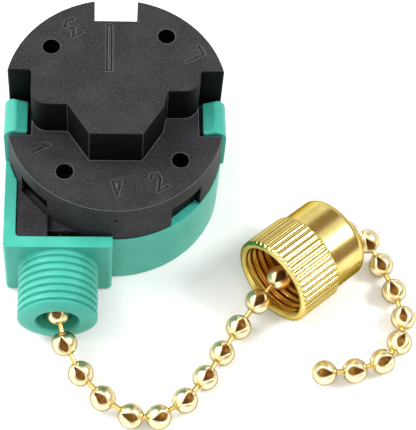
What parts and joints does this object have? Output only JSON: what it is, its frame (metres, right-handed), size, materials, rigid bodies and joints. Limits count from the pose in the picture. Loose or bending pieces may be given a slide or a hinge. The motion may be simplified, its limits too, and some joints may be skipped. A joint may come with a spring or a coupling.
{
  "type": "pull cord switch",
  "caption": "Round rotary switch with a square threaded nozzle, push-in wire entries, a bead pull chain and a knurled cap nut on the chain.",
  "frame": {"origin": "the switch's turning axis at its flat base", "axes": "+Z along the turning axis to the wire side; the nozzle points along -Y"},
  "size_m": [0.0527, 0.0498, 0.0231],
  "materials": {
    "teal_plastic": "satin moulded",
    "black_plastic": "fine matte grain",
    "steel": "drawn wire and turned pin",
    "white_plastic": "natural moulded",
    "fibre": "vulcanised fibre",
    "contact_brass": "stamped",
    "chain_brass": "bright plated",
    "nut_brass": "polished"
  },
  "bodies": {
    "case": {"housing": "teal_plastic", "cover": "black_plastic", "centre_pin": "steel", "thrust_washer": "fibre", "return_spring": "steel", "detent_spring": "steel", "terminal_line": "contact_brass", "wire_clamp_line": "steel", "terminal_one": "contact_brass", "wire_clamp_one": "steel", "terminal_two": "contact_brass", "wire_clamp_two": "steel", "terminal_three": "contact_brass", "wire_clamp_three": "steel"},
    "wheel": {"pull_wheel": "white_plastic", "wound_chain": "chain_brass"},
    "chain": {"inner_chain": "chain_brass", "pull_chain": "chain_brass"},
    "nut": {"cap_nut": "nut_brass"},
    "rotor": {"rotor": "white_plastic", "contact_star": "contact_brass", "ratchet_spring": "steel"},
    "ratchet": {"ratchet_ring": "white_plastic"},
    "detent": {"detent_ball": "steel"}
  },
  "joints": [
    {"name": "chain_pull", "type": "slide", "parent": "case", "child": "chain", "axis": [0, -1, 0], "range_m": [0, 0.0112], "stiffness_N_per_m": 120, "springref_m": -0.01},
    {"name": "wheel_turn", "type": "hinge", "parent": "case", "child": "wheel", "pos_m": [0, 0, 0.00575], "axis": [0, 0, 1], "range_deg": [0, 91], "deforming": ["return_spring"]},
    {"name": "rotor_index", "type": "hinge", "parent": "case", "child": "rotor", "pos_m": [0, 0, 0.0127], "axis": [0, 0, 1], "continuous": true},
    {"name": "ratchet_lift", "type": "slide", "parent": "rotor", "child": "ratchet", "axis": [0, 0, 1], "range_m": [-0.00075, 0], "deforming": ["ratchet_spring"]},
    {"name": "detent_press", "type": "slide", "parent": "case", "child": "detent", "axis": [0, 1, 0], "range_m": [-0.00045, 0], "deforming": ["detent_spring"]},
    {"name": "nut_spin", "type": "hinge", "parent": "chain", "child": "nut", "pos_m": [0.01978, -0.01791, 0.00648], "axis": [0.7564, 0.6483, -0.087], "continuous": true}
  ],
  "couplings": [
    {"joint": "wheel_turn", "follows": "chain_pull", "rad_per_m": 141.44}
  ]
}
